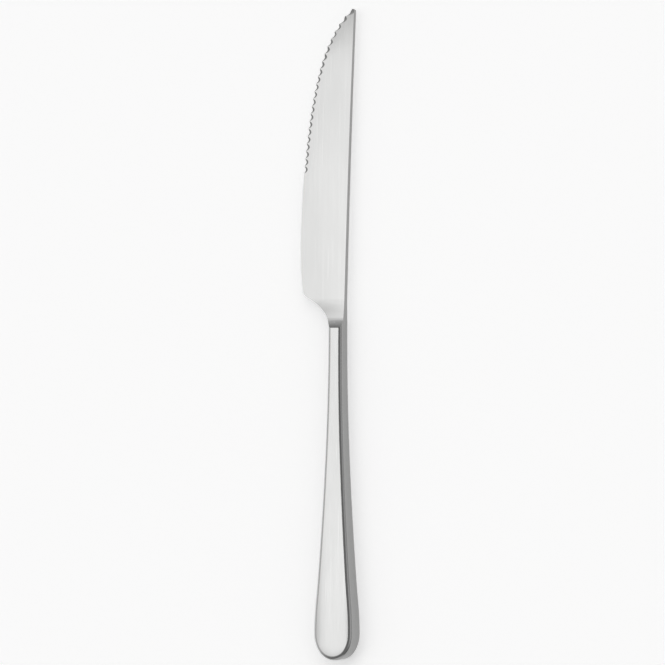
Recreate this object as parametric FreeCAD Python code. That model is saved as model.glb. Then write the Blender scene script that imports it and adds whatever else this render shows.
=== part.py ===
import FreeCAD, Part

import math
import os

from FreeCAD import Vector

# A steak knife, all of steel. The blade, its bolster and its tang are one forging. The
# handle is two pressed half shells, brazed rim to rim and filled with cement, which
# holds the tang.
#
# Millimetres and degrees. +X runs to the point, +Y to the cutting edge and +Z up. The
# pieces are drawn about the knife's centre plane, with the handle's mouth at x = 0. At
# the end the knife is laid on the back of its handle, its box centred on the origin.

# Handle. A width is across the handle, in the plane of the blade. The flare is the angle
# that one side of the palm makes with the handle's axis.
handle_length = 119.4
mouth_width = 5.84
mouth_thickness = 5.45
neck_length = 3.7
palm_from_butt = 31.0
palm_width = 13.1
palm_flare = 4.55
butt_width = 16.12
butt_thickness = 7.15
butt_arch = 9.6  # the rounded end, from the widest place to the butt
handle_rounding = 1.5
shell_wall = 0.8

# Tang, held in the cement.
tang_length = 38.0
tang_width = 2.8
tang_thickness = 2.4
tang_point = 3.0
tang_point_share = 0.5  # the blunt end's size, as a share of the tang's
tang_root = 0.15  # how far the tang is drawn into the bolster
notch_radius = 0.6
notch_pitch = 9.0
notch_stagger = 4.5  # between the notches of the two sides
notch_count = 3

# Blade outline. A depth is measured from the handle's axis towards the cutting edge.
blade_length = 115.7  # to the sharp point, before it is rounded
spine_middle_depth = -4.47
spine_point_depth = -6.65
point_rounding = 0.8
hollow_from_mouth = 9.7  # where the hollow under the neck runs out into the heel
hollow_depth = 10.0
heel_slant = 62.0
heel_depth = 14.3
heel_rounding = 2.5
belly_depth = 15.55
belly_line = ((20.3, 15.33), (30.3, belly_depth), (44.3, 15.06))  # (from mouth, depth)
edge_sweep = ((55.4, 13.9), (38.6, 11.73), (24.6, 8.63), (13.4, 4.39), (5.6, -0.57))  # (from point, depth)

# Blade thickness, and the bolster that flares up to the handle's mouth.
spine_thickness = 1.9
point_thickness = 1.4
edge_thickness = 0.4
face_crown = 0.08  # how far the ground face swells past flat at the middle
flare_foot_from_mouth = 3.8
flare_foot_thickness = 2.8
flare_foot_slope = 4.0
flare_radius = 7.0
flare_sweep = 60.0  # enough to pass out of the bolster
wedge_from_mouth = 10.5  # where the face has settled to a straight wedge, spine to edge

# Scallops, ground into the edge from the upper face.
scallop_count = 22
scallop_pitch = 2.7
scallop_from_point = 1.6
scallop_radius = 1.7
scallop_depth = 0.52
scallop_slope = 29.0

overrun = 4.0  # how far a cutting tool passes the metal it cuts
tiny = 0.001

handle_slope = math.degrees(math.atan((butt_thickness - mouth_thickness) / 2 / handle_length))


def curve_through(points, start=None):
    """A smooth curve through the points. Given a start direction, it ends along its last chord."""
    curve = Part.BSplineCurve()
    if start is None:
        curve.interpolate(Points=points)
    else:
        curve.interpolate(Points=points, InitialTangent=start, FinalTangent=points[-1] - points[-2])
    return curve


def depth_on(edge, x):
    """Where a curve that runs along the knife crosses x."""
    reach = butt_width + belly_depth
    crossing = Part.makeLine(Vector(x, -reach, 0), Vector(x, reach, 0))
    return edge.distToShape(crossing)[1][0][0].y


def arc_from(start, heading, end):
    """The arc that leaves one point in a direction and ends at another."""
    chord = end - start
    along = chord / chord.Length
    bow = heading - along * heading.dot(along)
    middle = (start + end) / 2 + bow * chord.Length / 2 / (1 + heading.dot(along))
    return Part.Arc(start, middle, end).toShape()


def two_arcs(start, heading, end, arrival):
    """The two arcs that lead smoothly from one point and direction to another."""
    span = end - start
    turn = 2 * (1 - heading.dot(arrival))
    reach = span.dot(heading + arrival)
    lead = (math.sqrt(reach ** 2 + turn * span.dot(span)) - reach) / turn
    joint = (start + end + (heading - arrival) * lead) / 2
    return [arc_from(start, heading, joint), arc_from(end, arrival * -1, joint)]


def outline_face(edges):
    return Part.Face(Part.Wire(Part.sortEdges(edges)[0]))


# ---------------------------------------------------------------- handle

def side_arcs(inset):
    """One side of the handle's outline, from the neck round to the end of the butt."""
    stations = (
        (neck_length, mouth_width / 2 - inset, 0.0),
        (handle_length - palm_from_butt, palm_width / 2 - inset, palm_flare),
        (handle_length - butt_arch, butt_width / 2 - inset, 0.0),
        (handle_length - inset, 0.0, -90.0),
    )
    points = []
    headings = []
    for along, half_width, flare in stations:
        turn = math.radians(flare)
        points.append(Vector(-along, half_width, 0))
        headings.append(Vector(-math.cos(turn), math.sin(turn), 0))
    edges = []
    for count in range(len(stations) - 1):
        edges += two_arcs(points[count], headings[count], points[count + 1], headings[count + 1])
    return edges


def handle_outline(inset):
    """The handle from above, run on past its mouth to be cut off there."""
    side = side_arcs(inset)
    level = mouth_width / 2 - inset
    side.append(Part.makeLine(Vector(overrun, level, 0), Vector(-neck_length, level, 0)))
    edges = [Part.makeLine(Vector(overrun, -level, 0), Vector(overrun, level, 0))]
    for edge in side:
        edges += [edge, edge.mirror(Vector(0, 0, 0), Vector(0, 1, 0)).Edges[0]]
    return outline_face(edges)


def face_rim(solid, level):
    """The edges round the handle's broad face, but for its end past the mouth."""
    found = []
    for edge in solid.Edges:
        box = edge.BoundBox
        if abs(box.ZMin - level) + abs(box.ZMax - level) < tiny and box.XMin < overrun / 2:
            found.append(edge)
    return found


def handle_half(inset, side):
    """One half of the handle's form, drawn in all round but for its mouth.

    Its broad face rises from the mouth to the butt. side is 1 for the upper half and -1
    for the lower.
    """
    level = mouth_thickness / 2 - inset
    half = handle_outline(inset).extrude(Vector(0, 0, level + overrun))
    half.translate(Vector(0, 0, -overrun))
    half = half.makeFillet(handle_rounding - inset, face_rim(half, level))
    half.rotate(Vector(0, 0, 0), Vector(0, 1, 0), handle_slope)
    block = Part.makeBox(2 * handle_length, 2 * butt_width, butt_thickness)
    block.translate(Vector(-2 * handle_length, -butt_width, 0))
    half = half.common(block)
    if side < 0:
        half = half.mirror(Vector(0, 0, 0), Vector(0, 0, 1))
    return half


def half_shell(side):
    """One pressed half of the hollow handle, parted at the centre plane."""
    return handle_half(0.0, side).cut(handle_half(shell_wall, side)).Solids[0]


def filler(tang_solid):
    """The cement that fills the handle round the tang."""
    cavity = handle_half(shell_wall, 1).fuse(handle_half(shell_wall, -1)).removeSplitter()
    return cavity.cut(tang_solid).Solids[0]


# ---------------------------------------------------------------- blade outline

def spine_edge():
    start = Vector(0, -mouth_width / 2, 0)
    middle = Vector(blade_length / 2, spine_middle_depth, 0)
    point = Vector(blade_length, spine_point_depth, 0)
    return Part.Arc(start, middle, point).toShape()


def heel_edges():
    """The hollow under the neck, and the straight slant from there down to the heel's corner."""
    turn = math.radians(heel_slant)
    slant = Vector(math.cos(turn), math.sin(turn), 0)
    start = Vector(0, mouth_width / 2, 0)
    end = Vector(hollow_from_mouth, hollow_depth, 0)
    corner = end + slant * ((heel_depth - hollow_depth) / slant.y)
    return two_arcs(start, Vector(1, 0, 0), end, slant) + [Part.makeLine(end, corner)]


def cutting_edge(corner):
    """The edge from the heel's corner round the belly and up to the point."""
    points = [corner] + [Vector(x, depth, 0) for x, depth in belly_line]
    points += [Vector(blade_length - from_point, depth, 0) for from_point, depth in edge_sweep]
    return curve_through(points + [Vector(blade_length, spine_point_depth, 0)]).toShape()


spine = spine_edge()
heel = heel_edges()
heel_corner = heel[-1].Vertexes[-1].Point
mouth = Part.makeLine(spine.Vertexes[0].Point, heel[0].Vertexes[0].Point)
edge_curve = cutting_edge(heel_corner)


# ---------------------------------------------------------------- blade thickness

def ground_line(depth, crown):
    """The ground face's height along the knife, on a cut at one depth.

    At each station the face runs straight from the spine's thickness to the edge's.
    """
    stations = [(wedge_from_mouth, belly_depth)] + list(belly_line[1:])
    stations += [(blade_length - from_point, edge_depth) for from_point, edge_depth in edge_sweep]
    heights = []
    for x, edge_depth in stations:
        spine_depth = depth_on(spine, x)
        taper = (x - wedge_from_mouth) / (blade_length - wedge_from_mouth)
        at_spine = (spine_thickness + (point_thickness - spine_thickness) * taper) / 2
        fall = (at_spine - edge_thickness / 2) / (edge_depth - spine_depth)
        heights.append(Vector(x, depth, at_spine - fall * (depth - spine_depth) + crown))
    heights.append(Vector(blade_length + overrun, depth, heights[-1].z))
    return curve_through(heights, Vector(1, 0, 0))


def run_out(foot, start):
    """The curve that leads from the flare's foot level into the ground face."""
    third = (start.x - foot.x) / 3
    drop = third * math.tan(math.radians(flare_foot_slope))
    curve = Part.BezierCurve()
    curve.setPoles([foot, foot + Vector(third, 0, -drop), start - Vector(third, 0, 0), start])
    return curve.toShape()


def flare_arc(foot):
    """The bolster's hollow flare, from above the bolster down to its foot."""
    centre = foot + flare_ray(flare_foot_slope) * -1
    middle = centre + flare_ray(flare_foot_slope + flare_sweep / 2)
    start = centre + flare_ray(flare_foot_slope + flare_sweep)
    return Part.Arc(start, middle, foot).toShape()


def flare_ray(turn):
    """From the flare's centre to its surface, turned so far back from straight down."""
    angle = math.radians(turn)
    return Vector(-math.sin(angle), 0, -math.cos(angle)) * flare_radius


def grinding_wedge():
    """What the grinding takes off the upper face, flare and all."""
    near = spine_point_depth - overrun
    far = belly_depth + overrun
    sections = []
    for depth, crown in ((near, 0.0), ((near + far) / 2, face_crown), (far, 0.0)):
        ground = ground_line(depth, crown)
        foot = Vector(flare_foot_from_mouth, depth, flare_foot_thickness / 2)
        flare = flare_arc(foot)
        start = flare.Vertexes[0].Point
        end = ground.EndPoint
        back = Vector(start.x, depth, mouth_thickness)
        front = Vector(end.x, depth, mouth_thickness)
        face = [flare, run_out(foot, ground.StartPoint), ground.toShape()]
        lines = [Part.makeLine(end, front), Part.makeLine(front, back), Part.makeLine(back, start)]
        sections.append(Part.Wire(face + lines))
    return Part.makeLoft(sections, True, False)


# ---------------------------------------------------------------- blade

def upright_edge(solid, place):
    """The solid's upright edge at a corner of the outline."""
    for edge in solid.Edges:
        middle = edge.CenterOfMass
        upright = edge.BoundBox.ZLength > mouth_thickness / 2
        if upright and math.hypot(middle.x - place.x, middle.y - place.y) < tiny:
            return edge


def bar_rims(solid, sides):
    """The edges of the two broad faces that follow the given edges of the outline."""
    found = []
    for side in sides:
        place = side.valueAt((side.FirstParameter + side.LastParameter) / 2)
        for level in (-mouth_thickness / 2, mouth_thickness / 2):
            touch = Part.Vertex(place.x, place.y, level)
            found += [edge for edge in solid.Edges if edge.distToShape(touch)[0] < tiny]
    return found


def bar_stock():
    """The bar the blade is cut from: its spine and heel, rounded like the handle's mouth."""
    point = spine.Vertexes[-1].Point
    start = heel[-1].Vertexes[0].Point
    slant = heel_corner - start
    low = start + slant * ((belly_depth + overrun - start.y) / slant.y)
    far = Vector(point.x + overrun, low.y, 0)
    lower_side = heel[:2] + [Part.makeLine(start, low)]
    outline = [mouth, spine] + lower_side + [Part.makeLine(low, far), Part.makeLine(far, point)]
    bar = outline_face(outline)
    bar.translate(Vector(0, 0, -mouth_thickness / 2))
    bar = bar.extrude(Vector(0, 0, mouth_thickness))
    return bar.makeFillet(handle_rounding, bar_rims(bar, [spine] + lower_side))


def forged_blank():
    """The blade's outline, cut from the bar. The grinding takes off all but the bolster's rounding."""
    blank = outline_face([mouth, spine, edge_curve] + heel)
    blank.translate(Vector(0, 0, -mouth_thickness / 2))
    blank = blank.extrude(Vector(0, 0, mouth_thickness))
    blank = blank.makeFillet(heel_rounding, [upright_edge(blank, heel_corner)])
    blank = blank.makeFillet(point_rounding, [upright_edge(blank, spine.Vertexes[-1].Point)])
    return blank.common(bar_stock())


def scallop_cutters():
    """Round cutters in a row, each tipped so that its groove dies out on the upper face."""
    slope = math.radians(scallop_slope)
    downhill = Vector(0, math.cos(slope), -math.sin(slope))
    uphill = Vector(0, math.sin(slope), math.cos(slope))
    length = scallop_radius * overrun
    cutters = []
    for count in range(scallop_count):
        x = blade_length - scallop_from_point - count * scallop_pitch
        groove_end = Vector(x, depth_on(edge_curve, x) - scallop_depth, -edge_thickness / 2)
        start = groove_end + uphill * scallop_radius - downhill * length
        cutters.append(Part.makeCylinder(scallop_radius, 2 * length, start, downhill))
    return cutters


def tang():
    """A bar with a blunt point and notches down both sides, for the cement to grip."""
    half_width = tang_width / 2
    half_thickness = tang_thickness / 2
    sections = []
    for x, share in ((tang_root, 1.0), (tang_point - tang_length, 1.0), (-tang_length, tang_point_share)):
        wide = half_width * share
        high = half_thickness * share
        corners = [(-wide, -high), (wide, -high), (wide, high), (-wide, high), (-wide, -high)]
        sections.append(Part.makePolygon([Vector(x, y, z) for y, z in corners]))
    bar = Part.makeLoft(sections, True, True)
    notches = []
    for count in range(notch_count):
        x = -notch_pitch * (count + 1)
        for side in (-1, 1):
            base = Vector(x - side * notch_stagger / 2, side * half_width, -tang_thickness)
            notches.append(Part.makeCylinder(notch_radius, 2 * tang_thickness, base, Vector(0, 0, 1)))
    return bar.cut(notches)


def blade():
    upper = grinding_wedge()
    lower = upper.mirror(Vector(0, 0, 0), Vector(0, 0, 1))
    ground = forged_blank().cut([upper, lower])
    scalloped = ground.cut(scallop_cutters())
    return scalloped.fuse(tang()).removeSplitter().Solids[0]


# ---------------------------------------------------------------- knife

def laid_down(pieces):
    """The pieces turned so that the handle lies flat, with their box on the origin."""
    for shape in pieces.values():
        shape.rotate(Vector(0, 0, 0), Vector(0, 1, 0), handle_slope)
    box = Part.makeCompound(list(pieces.values())).optimalBoundingBox(False)
    centre = box.Center
    for shape in pieces.values():
        shape.translate(Vector(-centre.x, -centre.y, -box.ZMin))
    return pieces


knife = {
    "blade": blade(),
    "handle_front_shell": half_shell(1),
    "handle_back_shell": half_shell(-1),
    "handle_filler": filler(tang()),
}

os.makedirs("parts", exist_ok=True)
for name, shape in laid_down(knife).items():
    shape.exportStep("parts/" + name + ".step")
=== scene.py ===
import math

import bpy
from mathutils import Matrix, Vector


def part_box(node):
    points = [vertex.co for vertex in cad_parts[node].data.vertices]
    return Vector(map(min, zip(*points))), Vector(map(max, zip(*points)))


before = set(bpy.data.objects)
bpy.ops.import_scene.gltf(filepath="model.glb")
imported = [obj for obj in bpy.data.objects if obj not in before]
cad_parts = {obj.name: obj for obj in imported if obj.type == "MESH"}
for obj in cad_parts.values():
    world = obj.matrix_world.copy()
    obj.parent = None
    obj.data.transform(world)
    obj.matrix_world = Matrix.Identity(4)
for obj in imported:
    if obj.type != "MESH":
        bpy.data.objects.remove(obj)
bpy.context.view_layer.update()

# A steak knife that lies on the back of its handle.
# Metres, in the CAD's frame: +X to the blade's point, +Y to the cutting edge, +Z up.

# ---------------------------------------------------------------- finish

STEEL = (0.62, 0.62, 0.615, 1)
CEMENT = (0.55, 0.52, 0.46, 1)

# Noise: how fast it changes along X, Y and Z, per metre, and its detail.
BLADE_LINES = ((120, 6000, 6000), 4.0)
HANDLE_LINES = ((150, 4000, 4000), 4.0)
CLOUDS = ((28, 60, 60), 2.0)
MARKS = ((14, 900, 900), 3.0)
HAIRLINES = ((9, 2600, 2600), 1.0)
CEMENT_GRAINS = ((900, 900, 900), 6.0)
# The values that most of the noise lies between, and those between which a hairline appears.
NOISE_RANGE = (0.3, 0.7)
HAIRLINE_RANGE = (0.66, 0.72)

LINE_DEPTH = 0.000002
BLADE_ROUGHNESS = (0.13, 0.19)
HANDLE_ROUGHNESS = (0.14, 0.20)
CEMENT_ROUGHNESS = 0.9

# Shares of the plain colour.
CLOUD_SHARE = 0.92
MARK_SHARE = 0.94
MARK_STRENGTH = 0.5
HAIRLINE_SHARE = 1.04
CEMENT_SHARE = 0.7

# Places painted darker as shade, which are also more coarsely ground: their share of the colour,
# which is painted shade, and the roughness added for the coarser grind.
SIDE_SHADE_AND_GRIND = (0.58, 0.05)
# The scallops' darker colour is painted shade in the grooves; their added roughness is the coarser
# grind.
SCALLOP_SHADE_AND_GRIND = (0.44, 0.20)
# Where these places are. Each pair is where the painted shade and the grind begin and where they are
# full:
# along X, or as one part of the surface's normal.
SIDE_FACING = (0.88, 0.60)
SCALLOPS_FROM = (0.051, 0.052)
SCALLOP_ASIDE = (0.18, 0.32)
SCALLOP_UP = (0.25, 0.40)

# ---------------------------------------------------------------- slight form

# How a face falls away with distance: the power of its curve, and its slope in degrees at a reach.
CROWN = (3, 14.0, 0.008)
SIDE_BULGE = (3, 9.0, 0.0035)
BLADE_CURVE = (2, 2.0, 0.0146)
POINT_FALL = (4, 9.0, 0.0323)

HANDLE_LOW, HANDLE_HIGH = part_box("handle_front_shell")
HANDLE_AXIS = (HANDLE_LOW[1] + HANDLE_HIGH[1]) / 2
HANDLE_SEAM = HANDLE_HIGH[2] / 2
# Within this of the butt, the crown falls towards the butt too.
BUTT_REACH = 0.0055
# The blade's face is highest along this Y, and falls towards the point past this X.
BLADE_RIDGE = 0.0064
POINT_FROM = 0.085

# ---------------------------------------------------------------- floor, camera and light

FLOOR_COLOUR = (0.95, 0.95, 0.95, 1)
FLOOR_GLOW = 0.43
FLOOR_HALF = 8.0

CAMERA_TARGET = Vector((0.00076, -0.00145, 0.00274))
CAMERA_ELEVATION = 60.0
CAMERA_DISTANCE = 1.6
CAMERA_LENS = 240.4

# Each pair is where a light has died away and where it is full: how far the direction to it points
# along X, Y or Z or, for the key's inner and outer sides, along the axis across the key.
KEY_ELEVATION = 60.0
KEY_LIGHT = 1.28
KEY_INNER = (-0.37, -0.29)
KEY_OUTER = (0.50, 0.02)
KEY_POINT_END = (0.70, -0.10)
KEY_BUTT_END = (-0.40, 0.00)
FILL_LIGHT = 1.05
FILL_END = (0.30, 0.50)
FILL_NEAR = (-0.75, -0.45)
FILL_FAR = (0.28, 0.16)
WALL_LIGHT = 0.42
WALL_HEIGHT = (0.85, 0.55)
WALL_POINT_END = (0.95, 0.40)
WALL_BUTT_END = (-0.75, -0.15)
END_LIGHT = 0.6
END_FROM = (-0.85, -0.93)
HORIZON = (-0.02, 0.02)
ROOM_LIGHT = 0.18


# ---------------------------------------------------------------- nodes

def new_material(name):
    """A material with one principled shader, its node tree and the shader."""
    material = bpy.data.materials.new(name)
    material.use_nodes = True
    tree = material.node_tree
    tree.nodes.clear()
    output = tree.nodes.new("ShaderNodeOutputMaterial")
    shader = tree.nodes.new("ShaderNodeBsdfPrincipled")
    tree.links.new(shader.outputs["BSDF"], output.inputs["Surface"])
    return material, tree, shader


def math_node(tree, operation, first, second=None):
    """One step of arithmetic. Each value is a number or comes from a node."""
    node = tree.nodes.new("ShaderNodeMath")
    node.operation = operation
    for socket, value in zip(node.inputs, (first, second)):
        if isinstance(value, (int, float)):
            socket.default_value = value
        elif value is not None:
            tree.links.new(value, socket)
    return node.outputs["Value"]


def product(tree, values):
    result = values[0]
    for value in values[1:]:
        result = math_node(tree, "MULTIPLY", result, value)
    return result


def noise(tree, speeds, detail):
    """Noise in the CAD's frame. It is drawn out along the axes on which it changes slowly."""
    place = tree.nodes.new("ShaderNodeTexCoord")
    mapping = tree.nodes.new("ShaderNodeMapping")
    mapping.inputs["Scale"].default_value = speeds
    texture = tree.nodes.new("ShaderNodeTexNoise")
    texture.inputs["Scale"].default_value = 1.0
    texture.inputs["Detail"].default_value = detail
    tree.links.new(place.outputs["Object"], mapping.inputs["Vector"])
    tree.links.new(mapping.outputs["Vector"], texture.inputs["Vector"])
    return texture.outputs["Fac"]


def spread(tree, value, low=0.0, high=1.0):
    """Noise spread over a range."""
    node = tree.nodes.new("ShaderNodeMapRange")
    node.inputs["From Min"].default_value = NOISE_RANGE[0]
    node.inputs["From Max"].default_value = NOISE_RANGE[1]
    node.inputs["To Min"].default_value = low
    node.inputs["To Max"].default_value = high
    tree.links.new(value, node.inputs["Value"])
    return node.outputs["Result"]


def fade(tree, value, none_at, full_at):
    """0 to 1, softly, between two values."""
    node = tree.nodes.new("ShaderNodeMapRange")
    node.interpolation_type = "SMOOTHSTEP"
    node.inputs["From Min"].default_value = none_at
    node.inputs["From Max"].default_value = full_at
    tree.links.new(value, node.inputs["Value"])
    return node.outputs["Result"]


def shade(colour, share):
    return tuple(c * share for c in colour[:3]) + (1,)


def blended(tree, factor, low, high):
    """One colour where the factor is 0, the other where it is 1. A colour may come from a node."""
    mix = tree.nodes.new("ShaderNodeMix")
    mix.data_type = "RGBA"
    for name, value in (("A", low), ("B", high)):
        if isinstance(value, tuple):
            mix.inputs[name].default_value = value
        else:
            tree.links.new(value, mix.inputs[name])
    tree.links.new(factor, mix.inputs["Factor"])
    return mix.outputs["Result"]


def parts_of(tree, source):
    """X, Y and Z of a point of the surface or of its normal, in the CAD's frame."""
    place = tree.nodes.new("ShaderNodeTexCoord")
    split = tree.nodes.new("ShaderNodeSeparateXYZ")
    tree.links.new(place.outputs[source], split.inputs["Vector"])
    return [split.outputs[axis] for axis in "XYZ"]


def bump(tree, height, distance, under=None):
    """A bump of a height map, over another one where that is given."""
    node = tree.nodes.new("ShaderNodeBump")
    node.inputs["Strength"].default_value = 1.0
    node.inputs["Distance"].default_value = distance
    tree.links.new(height, node.inputs["Height"])
    if under:
        tree.links.new(under, node.inputs["Normal"])
    return node.outputs["Normal"]


# ---------------------------------------------------------------- materials

def fall(tree, distance, power, slope, reach):
    """The height lost with distance, where the surface slopes by so many degrees at its reach."""
    steepness = -math.tan(math.radians(slope)) / (power * reach ** (power - 1))
    return math_node(tree, "MULTIPLY", math_node(tree, "POWER", distance, power), steepness)


def handle_form(tree):
    """The broad face falls towards its border, round the butt too, and the side bulges."""
    x, y, z = parts_of(tree, "Object")
    aside = math_node(tree, "SUBTRACT", y, HANDLE_AXIS)
    past = math_node(tree, "SUBTRACT", HANDLE_LOW[0] + BUTT_REACH, x)
    past = math_node(tree, "MAXIMUM", past, 0.0)
    squares = [math_node(tree, "MULTIPLY", value, value) for value in (aside, past)]
    out = math_node(tree, "SQRT", math_node(tree, "ADD", *squares))
    from_seam = math_node(tree, "ABSOLUTE", math_node(tree, "SUBTRACT", z, HANDLE_SEAM))
    return math_node(tree, "ADD", fall(tree, out, *CROWN), fall(tree, from_seam, *SIDE_BULGE))


def blade_form(tree):
    """The face is ground slightly convex, and falls towards the point."""
    x, y = parts_of(tree, "Object")[:2]
    aside = math_node(tree, "ABSOLUTE", math_node(tree, "SUBTRACT", y, BLADE_RIDGE))
    past = math_node(tree, "MAXIMUM", math_node(tree, "SUBTRACT", x, POINT_FROM), 0.0)
    return math_node(tree, "ADD", fall(tree, aside, *BLADE_CURVE), fall(tree, past, *POINT_FALL))


def on_sides(tree):
    """0 on the broad faces, and 1 on the narrow sides and on the steep part of the curves to them,
    where the colour is painted darker as shade.
    """
    facing = math_node(tree, "ABSOLUTE", parts_of(tree, "Normal")[2])
    return fade(tree, facing, *SIDE_FACING)


def in_scallops(tree):
    """1 in the scallops, which slope down to the edge and are painted darker there as shade, and 0 on
    the blade's faces.
    """
    x = parts_of(tree, "Object")[0]
    aside, up = parts_of(tree, "Normal")[1:]
    return product(tree, [fade(tree, x, *SCALLOPS_FROM), fade(tree, aside, *SCALLOP_ASIDE),
                          fade(tree, up, *SCALLOP_UP)])


def steel(name, lines, roughness, form, shade_and_grinds):
    """Satin steel: fine grinding lines, soft clouds and marks of tone, a few pale hairlines, and a
    darker colour painted as shade where each grind lies.
    """
    material, tree, shader = new_material(name)
    shader.inputs["Metallic"].default_value = 1.0
    lines = noise(tree, *lines)
    clouds = spread(tree, noise(tree, *CLOUDS))
    marks = spread(tree, noise(tree, *MARKS))
    hairlines = fade(tree, noise(tree, *HAIRLINES), *HAIRLINE_RANGE)
    colour = blended(tree, clouds, shade(STEEL, CLOUD_SHARE), STEEL)
    colour = blended(tree, product(tree, [marks, MARK_STRENGTH]), colour, shade(STEEL, MARK_SHARE))
    colour = blended(tree, hairlines, colour, shade(STEEL, HAIRLINE_SHARE))
    rough = spread(tree, lines, *roughness)
    for place, (share, rougher) in shade_and_grinds:
        where = place(tree)
        # Each grind's colour is painted shade, darker than the steel; its added roughness is the
        # coarser grind.
        colour = blended(tree, where, colour, shade(STEEL, share))
        rough = math_node(tree, "ADD", rough, math_node(tree, "MULTIPLY", where, rougher))
    tree.links.new(colour, shader.inputs["Base Color"])
    tree.links.new(rough, shader.inputs["Roughness"])
    surface = bump(tree, lines, LINE_DEPTH, bump(tree, form(tree), 1.0))
    tree.links.new(surface, shader.inputs["Normal"])
    return material


def cement():
    """Dull and grainy. It is out of sight."""
    material, tree, shader = new_material("cement")
    colour = blended(tree, noise(tree, *CEMENT_GRAINS), shade(CEMENT, CEMENT_SHARE), CEMENT)
    tree.links.new(colour, shader.inputs["Base Color"])
    shader.inputs["Roughness"].default_value = CEMENT_ROUGHNESS
    return material


def dress():
    """Each of the CAD's solids gets its material."""
    blade_steel = steel("blade_steel", BLADE_LINES, BLADE_ROUGHNESS, blade_form,
                        [(on_sides, SIDE_SHADE_AND_GRIND), (in_scallops, SCALLOP_SHADE_AND_GRIND)])
    handle_steel = steel("handle_steel", HANDLE_LINES, HANDLE_ROUGHNESS, handle_form,
                         [(on_sides, SIDE_SHADE_AND_GRIND)])
    finishes = {
        "blade": blade_steel,
        "handle_front_shell": handle_steel,
        "handle_back_shell": handle_steel,
        "handle_filler": cement(),
    }
    for node, material in finishes.items():
        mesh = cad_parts[node].data
        mesh.materials.clear()
        mesh.materials.append(material)


# ---------------------------------------------------------------- surroundings

def floor():
    """Pale, with a glow that only the camera and reflections see, so that it keeps the shadow."""
    corners = [(-FLOOR_HALF, -FLOOR_HALF, 0), (FLOOR_HALF, -FLOOR_HALF, 0),
               (FLOOR_HALF, FLOOR_HALF, 0), (-FLOOR_HALF, FLOOR_HALF, 0)]
    mesh = bpy.data.meshes.new("floor")
    mesh.from_pydata(corners, [], [(0, 1, 2, 3)])
    plane = bpy.data.objects.new("floor", mesh)
    bpy.context.collection.objects.link(plane)
    material, tree, shader = new_material("floor")
    shader.inputs["Base Color"].default_value = FLOOR_COLOUR
    shader.inputs["Roughness"].default_value = 1.0
    shader.inputs["Specular IOR Level"].default_value = 0.0
    shader.inputs["Emission Color"].default_value = (1, 1, 1, 1)
    path = tree.nodes.new("ShaderNodeLightPath").outputs
    seen = math_node(tree, "MAXIMUM", path["Is Camera Ray"], path["Is Glossy Ray"])
    seen = math_node(tree, "MAXIMUM", seen, path["Is Transmission Ray"])
    glow = math_node(tree, "MULTIPLY", seen, FLOOR_GLOW)
    tree.links.new(glow, shader.inputs["Emission Strength"])
    mesh.materials.append(material)


def aimed(tree, direction, axis):
    """How far a direction points along an axis, as a cosine."""
    dot = tree.nodes.new("ShaderNodeVectorMath")
    dot.operation = "DOT_PRODUCT"
    dot.inputs[1].default_value = axis
    tree.links.new(direction, dot.inputs[0])
    return dot.outputs["Value"]


def studio():
    """Softboxes over the knife's edge side, off its point and off its butt, pale walls and a room."""
    world = bpy.data.worlds.new("studio")
    bpy.context.scene.world = world
    world.use_nodes = True
    tree = world.node_tree
    direction = tree.nodes.new("ShaderNodeTexCoord").outputs["Generated"]
    along, across, up = [aimed(tree, direction, axis) for axis in ((1, 0, 0), (0, 1, 0), (0, 0, 1))]
    tilt = math.radians(KEY_ELEVATION)
    aside = aimed(tree, direction, (0, math.sin(tilt), -math.cos(tilt)))
    above = fade(tree, up, *HORIZON)
    key = product(tree, [fade(tree, aside, *KEY_INNER), fade(tree, aside, *KEY_OUTER),
                         fade(tree, along, *KEY_POINT_END), fade(tree, along, *KEY_BUTT_END),
                         above, KEY_LIGHT])
    fill = product(tree, [fade(tree, along, *FILL_END), fade(tree, across, *FILL_NEAR),
                          fade(tree, across, *FILL_FAR), above, FILL_LIGHT])
    walls = product(tree, [fade(tree, up, *WALL_HEIGHT), fade(tree, along, *WALL_POINT_END),
                           fade(tree, along, *WALL_BUTT_END), WALL_LIGHT])
    end = product(tree, [fade(tree, up, *WALL_HEIGHT), fade(tree, along, *END_FROM),
                         above, END_LIGHT])
    light = ROOM_LIGHT
    for part in (key, fill, walls, end):
        light = math_node(tree, "ADD", part, light)
    background = tree.nodes["Background"]
    tree.links.new(light, background.inputs["Strength"])
    background.inputs["Color"].default_value = (1, 1, 1, 1)


def camera():
    """From above and from the spine's side, with the blade's point at the top of the picture."""
    data = bpy.data.cameras.new("camera")
    data.lens = CAMERA_LENS
    view = bpy.data.objects.new("camera", data)
    bpy.context.collection.objects.link(view)
    elevation = math.radians(CAMERA_ELEVATION)
    back = Vector((0, -math.cos(elevation), math.sin(elevation)))
    up = Vector((1, 0, 0))
    right = up.cross(back)
    turn = Matrix((right, up, back)).transposed()
    place = Matrix.Translation(CAMERA_TARGET + back * CAMERA_DISTANCE)
    view.matrix_world = place @ turn.to_4x4()
    bpy.context.scene.camera = view


dress()
floor()
studio()
camera()
bpy.context.scene.view_settings.view_transform = "Standard"
